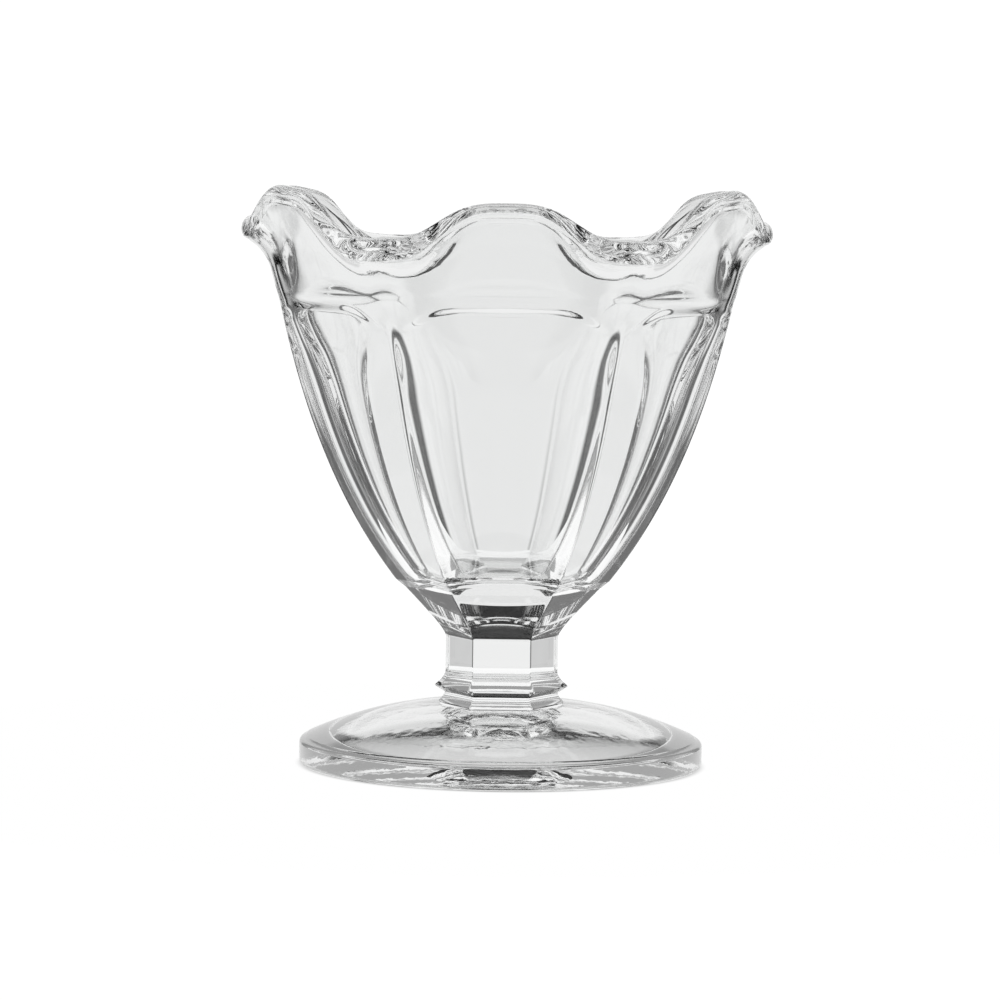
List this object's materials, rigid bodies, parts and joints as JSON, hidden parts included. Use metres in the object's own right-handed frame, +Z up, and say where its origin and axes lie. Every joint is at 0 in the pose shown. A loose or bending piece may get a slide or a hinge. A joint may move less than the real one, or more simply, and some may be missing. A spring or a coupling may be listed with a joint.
{
  "type": "footed sherbet glass",
  "caption": "Clear pressed-glass sherbet dish: a panelled tulip bowl with a ruffled rim, on a faceted stem, a flared collar and a round domed foot.",
  "frame": {"origin": "middle of the foot's underside, on the plane that the foot stands on", "axes": "+Z up along the axis of the stem; -Y towards the front petal of the rim; +X to the right seen from the front"},
  "size_m": [0.0988, 0.0938, 0.1078],
  "materials": {
    "clear_glass": "fire-polished, glossy and clear"
  },
  "bodies": {
    "root": {"bowl": "clear_glass", "stem": "clear_glass", "collar": "clear_glass", "foot": "clear_glass"}
  },
  "joints": []
}
